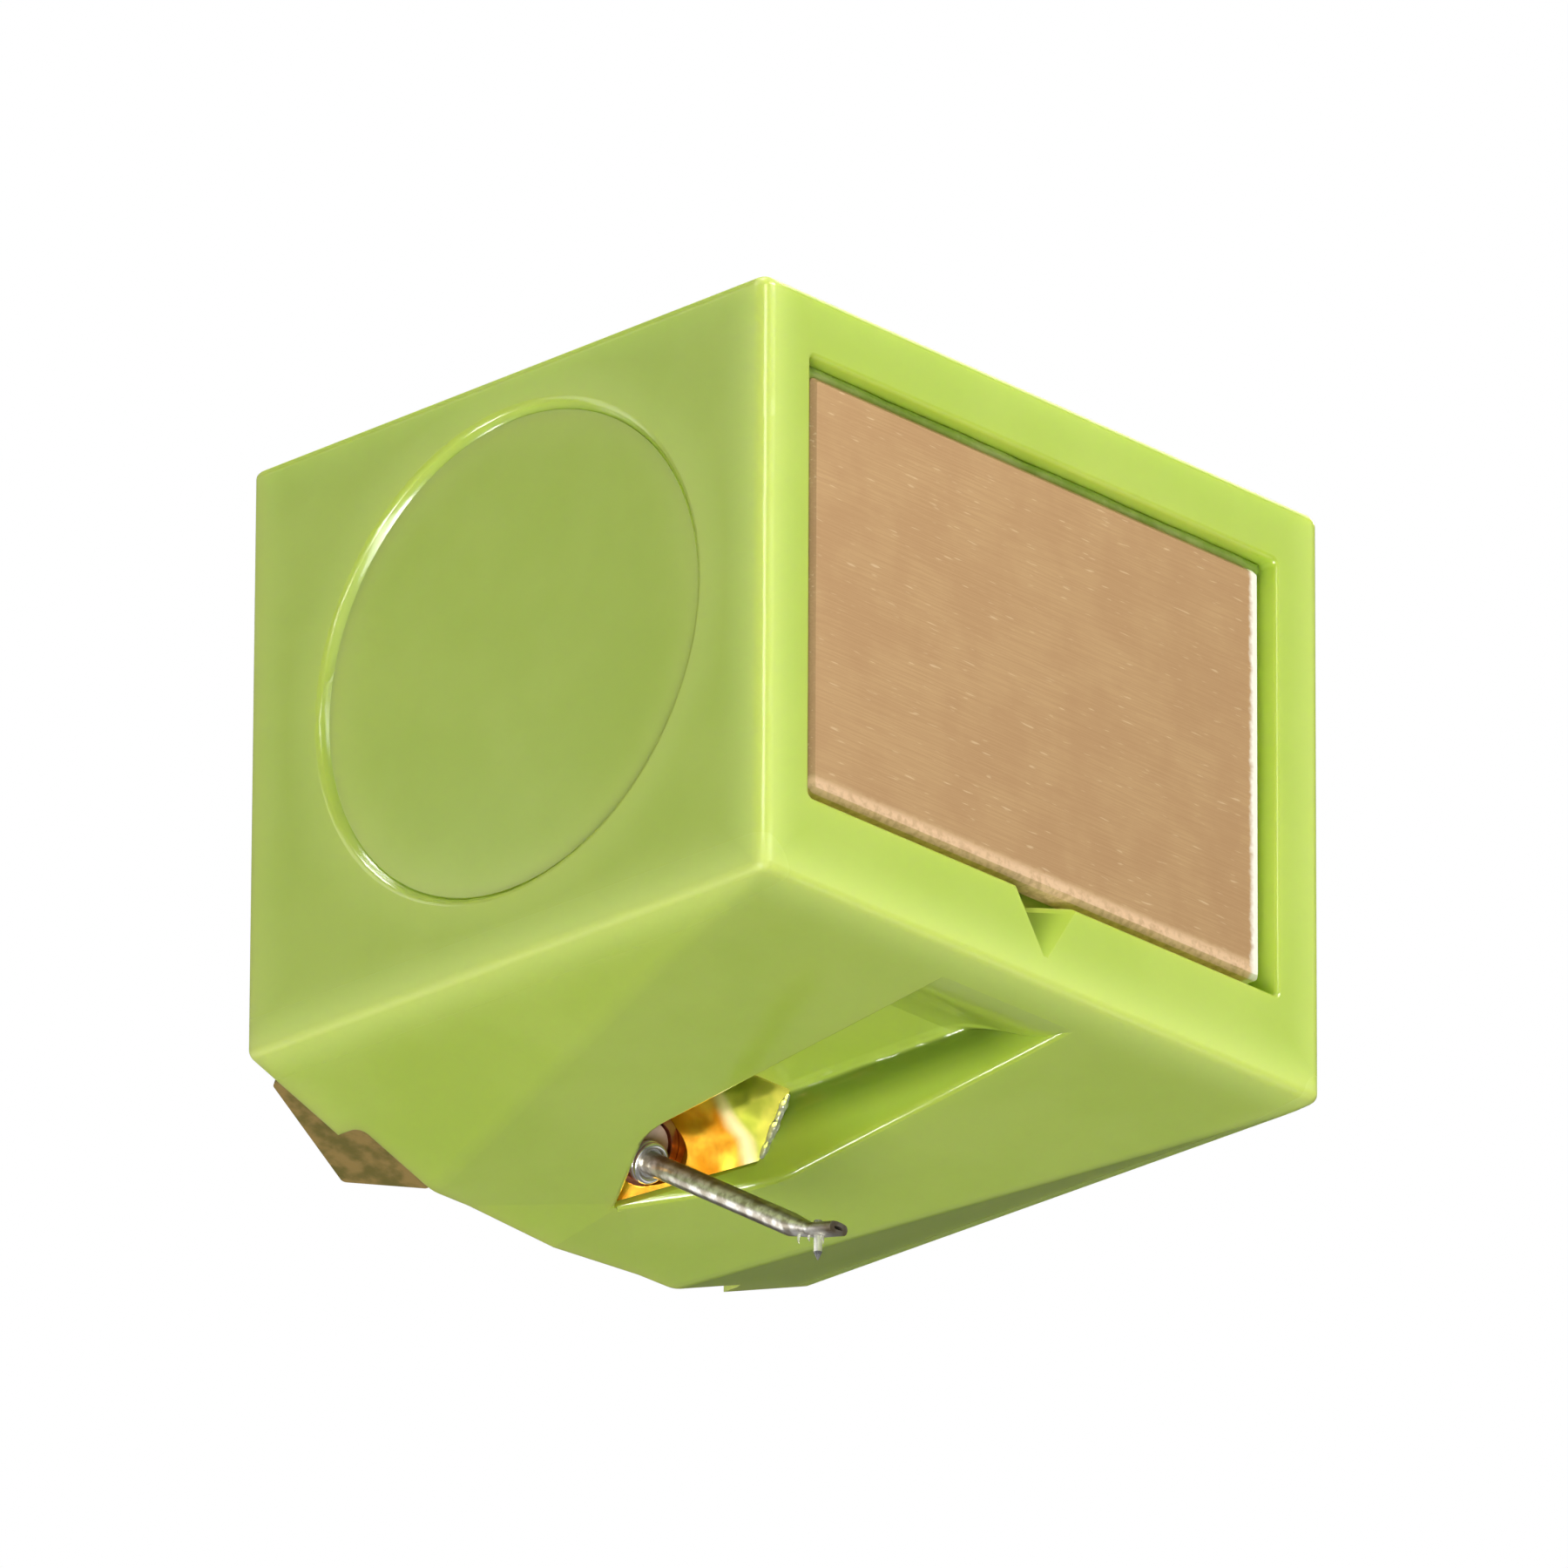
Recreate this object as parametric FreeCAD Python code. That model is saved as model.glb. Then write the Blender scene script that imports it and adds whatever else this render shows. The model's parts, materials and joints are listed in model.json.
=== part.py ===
import FreeCAD, Part
import math
import os

# Turntable stylus: a moulded holder that slides over the nose of a phono cartridge and
# carries the moving stylus. Millimetres, degrees.
# Working axes: x to the right seen from the front, y rearwards from the front face,
# z up from the front bottom edge. Everything is moved to the socket origin on export.

# Holder body
body_width = 16.2
body_depth = 14.0
body_height = 12.75
side_facet_slope = 19.6      # rise of the two outer belly facets
keel_facet_slope = 7.0       # fall of the middle belly facet towards the rear
front_edge_radius = 0.3
belly_edge_radius = 0.2
top_edge_radius = 0.25
crease_radius = 1.0
side_wall = 1.5
top_wall = 1.3
front_wall = 3.0
belly_wall = 1.0
mouth_chamfer = 0.3
tail_notch_width = 11.1
tail_notch_depth = 0.6
tail_notch_radius = 0.25
ridge_half_width = 3.2
ridge_height = 0.2
ridge_lead = 0.3             # run of the ridge inside the opening, cut away with it
guide_rib_width = 0.8
guide_rib_height = 0.35
guide_rib_spacing = 7.0

# Name plate on the front face, left plain, and its recess
recess_side_border = 1.33
recess_top_border = 1.40
recess_bottom = 1.90
plate_thickness = 0.5
plate_corner_radius = 0.15
plate_bevel = 0.1
plate_gap = 0.27
plate_set_back = 0.2
adhesive_thickness = 0.1
adhesive_inset = 0.5
recess_corner_radius = 0.12
recess_rim_radius = 0.1
cue_width = 1.8
cue_height = 1.3
cue_blunt_width = 0.12

# Finger dimples
dimple_border = 0.875        # dimple's rim to the top edge
dimple_wall_run = 0.28
dimple_depth = 0.32
dimple_raise = 0.3
dimple_wall_bulge = 0.03     # hollow of the dimple's wall
dimple_rim_radius = 0.12

# Stylus axis: where it leaves the suspension, and its fall to the front
root_from_front = 10.85
root_below_edge = 0.66
stylus_slope = 32.0

# Belly pocket that clears the cantilever
pocket_width = 3.56
pocket_front = 1.0
pocket_lead = 0.15           # run of the ramp below the belly, before it bites
pocket_ramp_end = 4.1
pocket_ramp_tilt = 8.0       # slope of the ramp where it meets the ceiling
pocket_ceiling = 0.73
pocket_corner_radius = 0.2
pocket_rim_radius = 0.15
pocket_rim_overlap = 0.005   # the rim's arc ends this far outside the belly
mouth_arm_start = 9.2
mouth_apex = 11.75
mouth_bend_radius = 2.0

# Gold plated sleeve: section about the stylus axis
sleeve_width = 3.4
sleeve_keel = 1.07           # axis to the lowest corner of the section
sleeve_keel_slope = 49.2     # rise of the keel faces from the axis outwards
sleeve_top = 2.45
sleeve_shank = 5.2           # length behind the stylus root
sleeve_notch = 0.55          # depth of the notch vertex behind the root
sleeve_notch_slope = 46.4
sleeve_clearance = 0.02
seat_width = 5.4
seat_top = 3.2
seat_length = 3.0

# Suspension
tube_outer_radius = 0.76
tube_wall = 0.16
tube_lift = 0.22             # tube's axis above the stylus axis
tube_recess = 0.08           # tube's front behind the stylus root
tube_length = 5.0
tube_clearance = 0.01
damper_clearance = 0.04
damper_recess = 0.16
damper_thickness = 0.5
armature_radius = 0.28
armature_length = 1.5
armature_play = 0.04
collar_radius = 0.44
collar_front = 0.14
collar_gap = 0.08
collar_bevel = 0.05
anchor_length = 0.9
anchor_inset = 0.1
anchor_clearance = 0.01
wire_radius = 0.05
wire_clearance = 0.02
wire_overlap = 0.3           # length of the tie wire inside the cantilever
magnet_width = 1.2
magnet_height = 1.0
magnet_length = 2.8
magnet_clearance = 0.02
magnet_over_tube = 0.25

# Cantilever and diamond
cantilever_radius = 0.24
cantilever_wall = 0.06
cantilever_insert = 1.2
cantilever_clearance = 0.005
cantilever_reach = 5.17
tip_length = 0.91
tip_slope = 12.7
tip_width = 0.50
tip_thickness = 0.25
tip_transition = 0.45
tip_softness = 0.5           # rounding of the flat end's sides, as a share of its thickness
tip_slit_height = 0.07
tip_slit_width = 0.24
tip_slit_depth = 0.2
shank_back = 0.62            # shank axis behind the end of the cantilever
shank_radius = 0.085
shank_above = 0.06
shank_below = 0.36
shank_clearance = 0.005
diamond_length = 0.16
diamond_point_radius = 0.015

# Bronze retaining leaf over the left belly facet
leaf_thickness = 0.25
leaf_clearance = 0.02
leaf_side_gap = 0.3
leaf_front = 8.4
leaf_from_crease = 0.25
leaf_tail_left = 1.31        # tail corners, distance behind the rear plane
leaf_tail_corner = 2.09
leaf_tail_right = 0.53
leaf_tail_left_in = 0.2      # tail corners, distance from the leaf's left edge
leaf_tail_corner_in = 3.01
leaf_tail_right_in = 3.90
leaf_corner_radius = 0.12
stake_radius = 0.3
stake_head_radius = 0.5
stake_head_height = 0.25
stake_spacing = 2.3
stake_from_leaf_front = 1.2
stake_root = 0.5             # length of a peg inside the wall

# Reach of a cutting form beyond the surface it opens, and the tolerance for finding edges
overcut = 1.0
near = 0.01

# Values that follow from the sizes above
half_width = body_width / 2
side_fall = math.tan(math.radians(side_facet_slope))
keel_fall = math.tan(math.radians(keel_facet_slope))
socket_height = body_height / 2
recess_depth = plate_set_back + plate_thickness + adhesive_thickness
recess_width = body_width - 2 * recess_side_border
recess_height = body_height - recess_bottom - recess_top_border
plate_width = recess_width - 2 * plate_gap
plate_height = recess_height - 2 * plate_gap
plate_bottom = recess_bottom + plate_gap
dimple_radius = socket_height - dimple_raise - dimple_border
dimple_floor_radius = dimple_radius - dimple_wall_run
tube_inner_radius = tube_outer_radius - tube_wall
leaf_left = side_wall + leaf_side_gap - half_width
sleeve_keel_rise = math.tan(math.radians(sleeve_keel_slope))
sleeve_notch_rise = math.tan(math.radians(sleeve_notch_slope))
far = 3 * body_width

slope = math.radians(stylus_slope)
forward = FreeCAD.Vector(0, -math.cos(slope), -math.sin(slope))
upward = FreeCAD.Vector(0, -math.sin(slope), math.cos(slope))
across = FreeCAD.Vector(1, 0, 0)
root = FreeCAD.Vector(0, root_from_front, -root_below_edge)


def along(x, s, b):
    """Point at x across, s forward along the stylus axis from its root and b above the axis."""
    return root + across * x + forward * s + upward * b


def box(x0, x1, y0, y1, z0, z1):
    """Box between two corners in the working axes."""
    return Part.makeBox(x1 - x0, y1 - y0, z1 - z0, FreeCAD.Vector(x0, y0, z0))


def prism(points, sweep):
    """Solid swept from the closed polygon through the points."""
    face = Part.Face(Part.makePolygon(list(points) + [points[0]]))
    return face.extrude(sweep)


def axis_cylinder(radius, s_front, s_rear, lift=0):
    """Cylinder along the stylus axis between two stations, front to rear."""
    return Part.makeCylinder(radius, s_front - s_rear, along(0, s_rear, lift), forward)


def tube_cylinder(radius, s_front, s_rear):
    """Cylinder on the axis of the suspension tube."""
    return axis_cylinder(radius, s_front, s_rear, tube_lift)


def axis_block(x_half, s_front, s_rear, b_low, b_high):
    """Block square to the stylus axis."""
    corners = [along(-x_half, s_rear, b_low), along(x_half, s_rear, b_low),
               along(x_half, s_rear, b_high), along(-x_half, s_rear, b_high)]
    return prism(corners, forward * (s_front - s_rear))


def edges_at(shape, test):
    """Edges whose middle point passes the test."""
    found = []
    for edge in shape.Edges:
        middle = edge.valueAt((edge.FirstParameter + edge.LastParameter) / 2)
        if test(middle):
            found.append(edge)
    return found


def belly_z(x, y):
    """Height of the outer belly surface."""
    return -min(side_fall * (half_width - abs(x)), keel_fall * y)


def wedge_body(x_half, y_front, y_rear, z_top, lift):
    """Box with the three-facet belly, its facets lifted straight up by the given amount."""
    front_view = [FreeCAD.Vector(-x_half, y_front, lift - side_fall * (half_width - x_half)),
                  FreeCAD.Vector(0, y_front, lift - side_fall * half_width),
                  FreeCAD.Vector(x_half, y_front, lift - side_fall * (half_width - x_half)),
                  FreeCAD.Vector(x_half, y_front, z_top),
                  FreeCAD.Vector(-x_half, y_front, z_top)]
    side_view = [FreeCAD.Vector(-far, y_front, lift - keel_fall * y_front),
                 FreeCAD.Vector(-far, y_rear, lift - keel_fall * y_rear),
                 FreeCAD.Vector(-far, y_rear, z_top),
                 FreeCAD.Vector(-far, y_front, z_top)]
    by_front = prism(front_view, FreeCAD.Vector(0, y_rear - y_front, 0))
    by_side = prism(side_view, FreeCAD.Vector(2 * far, 0, 0))
    return by_front.common(by_side)


def holder_outside():
    """Outer form of the holder: a box with a three-facet belly and rounded edges."""
    body = wedge_body(half_width, 0, body_depth, body_height, 0)

    def is_crease(m):
        return abs(m.x) < half_width - side_wall and side_wall < m.y < body_depth - side_wall and m.z < -near

    def is_front_upright(m):
        return m.y < near and half_width - abs(m.x) < near

    def is_belly_border(m):
        at_side = half_width - abs(m.x) < near
        return abs(m.z) < near and m.y < body_depth - near and (m.y < front_edge_radius or at_side)

    def is_top(m):
        return body_height - m.z < near

    rounding = [(is_crease, crease_radius), (is_front_upright, front_edge_radius),
                (is_belly_border, belly_edge_radius), (is_top, top_edge_radius)]
    for test, radius in rounding:
        body = body.makeFillet(radius, edges_at(body, test))
    return body


def keel_ridge():
    """Shallow ridge on the middle line of the belly, behind the opening."""
    rear = body_depth
    sink = ridge_height
    start = mouth_apex - ridge_lead
    front = FreeCAD.Vector(0, start, belly_z(0, start) + sink)
    crest_front = FreeCAD.Vector(0, start, belly_z(0, start))
    base_z = belly_z(0, rear)
    left = FreeCAD.Vector(-ridge_half_width, rear, base_z)
    right = FreeCAD.Vector(ridge_half_width, rear, base_z)
    crest = FreeCAD.Vector(0, rear, base_z - ridge_height)
    high = FreeCAD.Vector(0, rear, base_z + sink)
    triangles = [(crest_front, left, crest), (crest_front, crest, right), (front, high, left),
                 (front, right, high), (left, high, crest), (right, crest, high),
                 (front, left, crest_front), (front, crest_front, right)]
    faces = [Part.Face(Part.makePolygon([a, b, c, a])) for a, b, c in triangles]
    return Part.Solid(Part.Shell(faces))


def cavity():
    """Hollow for the cartridge nose, open at the rear, around the seat of the sleeve."""
    inner_half = half_width - side_wall
    ceiling = body_height - top_wall
    lift = belly_wall / math.cos(math.radians(side_facet_slope))
    hollow = wedge_body(inner_half, front_wall, body_depth + overcut, ceiling, lift)
    seat = axis_block(seat_width / 2, far, -seat_length, -far, seat_top)
    roof = box(-seat_width / 2, seat_width / 2, 0, root_from_front, -far, pocket_ceiling + belly_wall)
    hollow = hollow.cut(seat).cut(roof)
    for side in (-1, 1):
        middle = side * guide_rib_spacing / 2
        rib = box(middle - guide_rib_width / 2, middle + guide_rib_width / 2,
                  front_wall, body_depth - 2 * mouth_chamfer, ceiling - guide_rib_height, body_height)
        hollow = hollow.cut(rib)
    lead_in = Part.makeLoft([mouth_outline(0), mouth_outline(mouth_chamfer)], True)
    return hollow.fuse(lead_in)


def mouth_outline(grow):
    """Upper outline of the rear mouth, grown outwards and carried to the rear plane with it."""
    inner_half = half_width - side_wall + grow
    ceiling = body_height - top_wall + grow
    y = body_depth - mouth_chamfer + grow
    corners = [FreeCAD.Vector(-inner_half, y, socket_height), FreeCAD.Vector(inner_half, y, socket_height),
               FreeCAD.Vector(inner_half, y, ceiling), FreeCAD.Vector(-inner_half, y, ceiling)]
    return Part.makePolygon(corners + [corners[0]])


def rounded_plate(width, height, y_front, y_rear, z_bottom, radius):
    """Plate in the front plane with rounded corners."""
    plate = box(-width / 2, width / 2, y_front, y_rear, z_bottom, z_bottom + height)
    corners = edges_at(plate, lambda m: y_front + near < m.y < y_rear - near)
    return plate.makeFillet(radius, corners)


def plate_recess():
    """Recess for the plate."""
    return rounded_plate(recess_width, recess_height, -overcut, recess_depth, recess_bottom,
                         recess_corner_radius)


def is_recess_rim(point):
    """True on the edge between the recess and the front face."""
    beyond_side = abs(point.x) - recess_width / 2
    beyond_end = abs(point.z - recess_bottom - recess_height / 2) - recess_height / 2
    return abs(point.y) < near and abs(max(beyond_side, beyond_end)) < recess_corner_radius


def cue_section(share):
    """Section of the cue notch, with a rounded crease, at a share of its height above the blunt end."""
    half = (cue_blunt_width + share * (cue_width - cue_blunt_width)) / 2
    depth = recess_depth * 2 * half / cue_width
    z = recess_bottom + (share - 1) * cue_height
    left = FreeCAD.Vector(-half, 0, z)
    right = FreeCAD.Vector(half, 0, z)
    crease_left = FreeCAD.Vector(-half / 4, depth * 3 / 4, z)
    crease_right = FreeCAD.Vector(half / 4, depth * 3 / 4, z)
    crease = Part.Arc(crease_left, FreeCAD.Vector(0, depth * 7 / 8, z), crease_right).toShape()
    sides = [Part.makeLine(left, crease_left), crease, Part.makeLine(crease_right, right)]
    return Part.Wire(sides + [Part.makeLine(right, left)])


def cue_notch():
    """Pointed notch under the plate that marks the place of the stylus."""
    top_share = 1 + plate_gap / cue_height
    return Part.makeLoft([cue_section(0), cue_section(top_share)], True, True)


def finger_dimple(side):
    """Shallow round dish in a side face, revolved about the cross axis."""
    centre = FreeCAD.Vector(side * half_width, body_depth / 2, socket_height + dimple_raise)

    def point(radius, depth):
        return centre + FreeCAD.Vector(-side * depth, radius, 0)

    wall_mid = point((dimple_floor_radius + dimple_radius) / 2 + dimple_wall_bulge,
                     dimple_depth / 2 + dimple_wall_bulge)
    wall = Part.Arc(point(dimple_floor_radius, dimple_depth), wall_mid, point(dimple_radius, 0)).toShape()
    rest = Part.makePolygon([point(dimple_radius, 0), point(dimple_radius, -overcut), point(0, -overcut),
                             point(0, dimple_depth), point(dimple_floor_radius, dimple_depth)])
    return Part.Face(Part.Wire([wall] + rest.Edges)).revolve(centre, across, 360)


def is_dimple_rim(point):
    """True on the edge between a dimple and its side face."""
    reach = math.hypot(point.y - body_depth / 2, point.z - socket_height - dimple_raise)
    return half_width - abs(point.x) < near and abs(reach - dimple_radius) < near


def ramp_prism(half, y_end):
    """Side view of the pocket swept across: an S-shaped ramp that runs into a flat ceiling."""
    deep = -half_width
    foot = FreeCAD.Vector(-half, pocket_front - pocket_lead, belly_z(0, pocket_front))
    top = FreeCAD.Vector(-half, pocket_ramp_end, pocket_ceiling)
    pull = (top.y - foot.y) / 2
    middle_foot = foot + FreeCAD.Vector(0, pull, 0)
    middle_top = top - FreeCAD.Vector(0, pull, pull * math.tan(math.radians(pocket_ramp_tilt)))
    ramp = Part.BezierCurve()
    ramp.setPoles([foot, middle_foot, middle_top, top])
    rest = Part.makePolygon([top, FreeCAD.Vector(-half, y_end, pocket_ceiling),
                             FreeCAD.Vector(-half, y_end, deep), FreeCAD.Vector(-half, foot.y, deep), foot])
    return Part.Face(Part.Wire([ramp.toShape()] + rest.Edges)).extrude(across * (2 * half))


def belly_pocket():
    """Pocket under the cantilever: a ramp at the front, a flat ceiling and an open rear end."""
    half = pocket_width / 2
    pocket = ramp_prism(half, root_from_front)

    def is_inner_corner(m):
        return half - abs(m.x) < near and abs(m.z - pocket_ceiling) < near

    pocket = pocket.makeFillet(pocket_corner_radius, edges_at(pocket, is_inner_corner))
    front_part = axis_block(half_width, far, sleeve_front(), -far, far)
    return pocket.common(front_part).common(opening_prism(0, body_height))


def mouth_front():
    """Distance along the belly at which the pointed end of the opening starts to bend inwards."""
    return mouth_arm_start - mouth_bend_radius * math.tan(mouth_turn() / 2)


def mouth_turn():
    """Angle between a straight side of the opening and its arm to the apex."""
    return math.atan2(pocket_width / 2, mouth_apex - mouth_arm_start)


def rim_edges(side, start):
    """One side of the opening on the belly plane: a straight line, a rounded bend and the arm to the apex."""
    centre_x = pocket_width / 2 - mouth_bend_radius
    apex = belly_point(0, mouth_apex, 0)

    def on_bend(angle):
        x = centre_x + mouth_bend_radius * math.cos(angle)
        return belly_point(side * x, mouth_front() + mouth_bend_radius * math.sin(angle), 0)

    turn = mouth_turn()
    straight = Part.makeLine(belly_point(side * pocket_width / 2, start, 0), on_bend(0))
    bend = Part.Arc(on_bend(0), on_bend(turn / 2), on_bend(turn)).toShape()
    return [straight, bend, Part.makeLine(on_bend(turn), apex)]


def belly_point(x, run, depth):
    """Point x across, a run along the middle facet of the belly from its front edge, at a depth inside it."""
    fall = math.radians(keel_facet_slope)
    rearward = FreeCAD.Vector(0, math.cos(fall), -math.sin(fall))
    inward = FreeCAD.Vector(0, math.sin(fall), math.cos(fall))
    return across * x + rearward * run + inward * depth


def pocket_rim(side):
    """Rounded rim on one side of the opening: a quarter arc swept along its edge."""
    half = pocket_width / 2
    low = -pocket_rim_overlap
    top = low + pocket_rim_radius
    turn = pocket_rim_radius * math.sqrt(0.5)

    def place(beside, depth):
        return belly_point(side * (half + beside), 0, depth)

    arc = Part.Arc(place(pocket_rim_radius, low), place(pocket_rim_radius - turn, top - turn), place(0, top))
    outside = Part.makePolygon([place(0, top), place(0, -overcut), place(pocket_rim_radius, -overcut),
                                place(pocket_rim_radius, low)])
    section = Part.Wire([arc.toShape()] + outside.Edges)
    sweep = Part.Wire(rim_edges(side, 0)).makePipeShell([section], True, False)
    return sweep.common(ramp_prism(half_width, body_depth))


def opening_prism(start, height):
    """Plan of the belly opening from a start to its apex, swept square to the belly up to a height."""
    half = pocket_width / 2
    close = Part.makeLine(belly_point(-half, start, 0), belly_point(half, start, 0))
    opening = Part.Face(Part.Wire([close] + rim_edges(1, start) + rim_edges(-1, start)[::-1]))
    up = belly_point(0, 0, 1)
    opening.translate(up * -overcut)
    return opening.extrude(up * (overcut + height))


def belly_mouth():
    """Pointed rear end of the belly opening, up to the sleeve."""
    start = mouth_front() - overcut
    return opening_prism(start, pocket_ceiling - pocket_corner_radius - belly_z(0, start))


def sleeve_front():
    """Station of the sleeve's foremost corners."""
    return sleeve_notch_rise * sleeve_width / 2 - sleeve_notch


def sleeve_section(grow, s_front, s_rear):
    """Five-sided bar on the stylus axis: flat top, upright sides and a keel below."""
    half = sleeve_width / 2 + grow
    keel = -sleeve_keel - grow * math.hypot(1, sleeve_keel_rise)
    shoulder = keel + sleeve_keel_rise * half
    top = sleeve_top + grow
    corners = [along(0, s_rear, keel), along(half, s_rear, shoulder), along(half, s_rear, top),
               along(-half, s_rear, top), along(-half, s_rear, shoulder)]
    return prism(corners, forward * (s_front - s_rear))


def leaf_stakes():
    """Heat-staked pegs that hold the retaining leaf on the cavity floor."""
    pegs = []
    normal = facet_normal()
    for index in range(2):
        foot = stake_foot(index)
        shaft = Part.makeCylinder(stake_radius, leaf_top() - leaf_floor() + leaf_clearance + stake_root,
                                  foot - normal * stake_root, normal)
        head_base = foot + normal * (leaf_top() - leaf_floor() + leaf_clearance)
        head = Part.makeCone(stake_head_radius, stake_radius, stake_head_height, head_base, normal)
        pegs.append(shaft.fuse(head))
    return pegs


def facet_normal():
    """Inward normal of the left belly facet."""
    tilt = math.radians(side_facet_slope)
    return FreeCAD.Vector(math.sin(tilt), 0, math.cos(tilt))


def leaf_floor():
    """Distance of the cavity floor inside the left facet."""
    return belly_wall


def leaf_top():
    """Distance of the leaf's upper face inside the left facet."""
    return belly_wall + leaf_clearance + leaf_thickness


def facet_point(x, y, offset):
    """Point over the left belly facet, a given distance inside it."""
    surface = FreeCAD.Vector(x, y, -side_fall * (half_width + x))
    return surface + FreeCAD.Vector(0, 0, offset / math.cos(math.radians(side_facet_slope)))


def stake_foot(index):
    """Foot of a peg on the cavity floor, on the middle line of the leaf."""
    y = leaf_front + stake_from_leaf_front + index * stake_spacing
    x = (leaf_left + leaf_right(y)) / 2
    return facet_point(x, y, leaf_floor())


def leaf_right(y):
    """Right edge of the leaf, beside the crease between the left and middle facets."""
    return -half_width + keel_fall * y / side_fall - leaf_from_crease


def tail_notch():
    """Notch in the rear edge of the belly, with rounded inner corners."""
    half = tail_notch_width / 2
    front = body_depth - tail_notch_depth
    notch = box(-half, half, front, body_depth + overcut, -half_width, recess_bottom)
    corners = edges_at(notch, lambda m: m.y - front < near and half - abs(m.x) < near)
    return notch.makeFillet(tail_notch_radius, corners)


def make_housing():
    """Moulded holder."""
    body = holder_outside().fuse(keel_ridge())
    body = body.cut(cavity())
    body = body.cut(tail_notch())
    body = body.cut(plate_recess())
    body = body.makeFillet(recess_rim_radius, edges_at(body, is_recess_rim))
    body = body.cut(cue_notch())
    for side in (-1, 1):
        body = body.cut(finger_dimple(side))
    body = body.makeFillet(dimple_rim_radius, edges_at(body, is_dimple_rim))
    body = body.cut(belly_pocket()).cut(belly_mouth())
    for side in (-1, 1):
        body = body.cut(pocket_rim(side))
    body = body.cut(sleeve_section(sleeve_clearance, sleeve_front() + sleeve_clearance, -far))
    for peg in leaf_stakes():
        body = body.fuse(peg)
    return body.removeSplitter()


def make_front_plate():
    """Plain metal plate with bevelled front edges."""
    y_front = plate_set_back
    y_rear = y_front + plate_thickness
    plate = rounded_plate(plate_width, plate_height, y_front, y_rear, plate_bottom, plate_corner_radius)
    rim = edges_at(plate, lambda m: abs(m.y - y_front) < near)
    return plate.makeChamfer(plate_bevel, rim)


def make_plate_adhesive():
    """Adhesive film between the plate and the recess floor."""
    y_front = plate_set_back + plate_thickness
    return rounded_plate(plate_width - 2 * adhesive_inset, plate_height - 2 * adhesive_inset, y_front,
                         y_front + adhesive_thickness, plate_bottom + adhesive_inset, plate_corner_radius)


def make_sleeve():
    """Gold plated sleeve with a notched mouth, a bore for the suspension and a slot for the magnet."""
    front = sleeve_front()
    sleeve = sleeve_section(0, front, -sleeve_shank)
    half = sleeve_width / 2
    reach = half + overcut
    tip = -sleeve_notch
    spread = tip + sleeve_notch_rise * reach
    low = -sleeve_keel - overcut
    notch_plan = [along(0, tip, low), along(reach, spread, low), along(-reach, spread, low)]
    notch = prism(notch_plan, upward * (sleeve_top - low + overcut))
    sleeve = sleeve.cut(notch)
    sleeve = sleeve.cut(tube_cylinder(tube_outer_radius + tube_clearance, front, -sleeve_shank))
    slot_half = magnet_width / 2 + magnet_clearance
    slot_low = magnet_floor()
    slot_high = slot_low + magnet_height + 2 * magnet_clearance
    slot_front = magnet_length - sleeve_shank + magnet_clearance
    return sleeve.cut(axis_block(slot_half, slot_front, -sleeve_shank, slot_low, slot_high))


def make_suspension_tube():
    """Thin tube that carries the damper and the wire anchor."""
    front = -tube_recess
    rear = front - tube_length
    return tube_cylinder(tube_outer_radius, front, rear).cut(tube_cylinder(tube_inner_radius, front, rear))


def make_damper():
    """Rubber ring in the tube, with the armature's hole below its middle."""
    rear = -damper_recess - damper_thickness
    ring = tube_cylinder(tube_inner_radius - damper_clearance, -damper_recess, rear)
    return ring.cut(axis_cylinder(armature_radius + armature_play, -damper_recess, rear))


def make_armature():
    """Soft-iron pipe with a collar in front of the damper."""
    bore = cantilever_radius + cantilever_clearance
    pipe = axis_cylinder(armature_radius, collar_front, collar_front - armature_length)
    collar = axis_cylinder(collar_radius, collar_front, collar_gap - tube_recess)
    rim = edges_at(collar, lambda m: abs((m - root).dot(forward) - collar_front) < near / 2)
    collar = collar.makeChamfer(collar_bevel, rim)
    return pipe.fuse(collar).cut(axis_cylinder(bore, collar_front, collar_front - armature_length))


def tip_frame():
    """Bend point of the cantilever and the directions of its flat end."""
    bend = along(0, cantilever_reach, 0)
    fall = math.radians(tip_slope)
    ahead = FreeCAD.Vector(0, -math.cos(fall), -math.sin(fall))
    over = FreeCAD.Vector(0, -math.sin(fall), math.cos(fall))
    return bend, ahead, over


def oval_wire(centre, over, width, thickness, corner_x, corner_z):
    """Closed section of four arcs that meet at the corners and pass through the middles of its sides."""
    corners = [(-corner_x, corner_z), (corner_x, corner_z), (corner_x, -corner_z), (-corner_x, -corner_z)]
    middles = [(0, thickness / 2), (width / 2, 0), (0, -thickness / 2), (-width / 2, 0)]

    def point(place):
        return centre + across * place[0] + over * place[1]

    arcs = []
    for index in range(4):
        start = point(corners[index])
        end = point(corners[(index + 1) % 4])
        arcs.append(Part.Arc(start, point(middles[index]), end).toShape())
    return Part.Wire(arcs)


def round_section(centre):
    """Round section of the cantilever tube."""
    corner = cantilever_radius * math.sqrt(0.5)
    return oval_wire(centre, upward, 2 * cantilever_radius, 2 * cantilever_radius, corner, corner)


def flat_section(centre, over, width, thickness):
    """Flat section with softly rounded sides."""
    return oval_wire(centre, over, width, thickness, (width - tip_softness * thickness) / 2, 0.42 * thickness)


def shank_top():
    """Top of the stylus shank, on the middle line of the flat end."""
    bend, ahead, over = tip_frame()
    return bend + ahead * (tip_length - shank_back) + over * (tip_thickness / 2 + shank_above)


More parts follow.
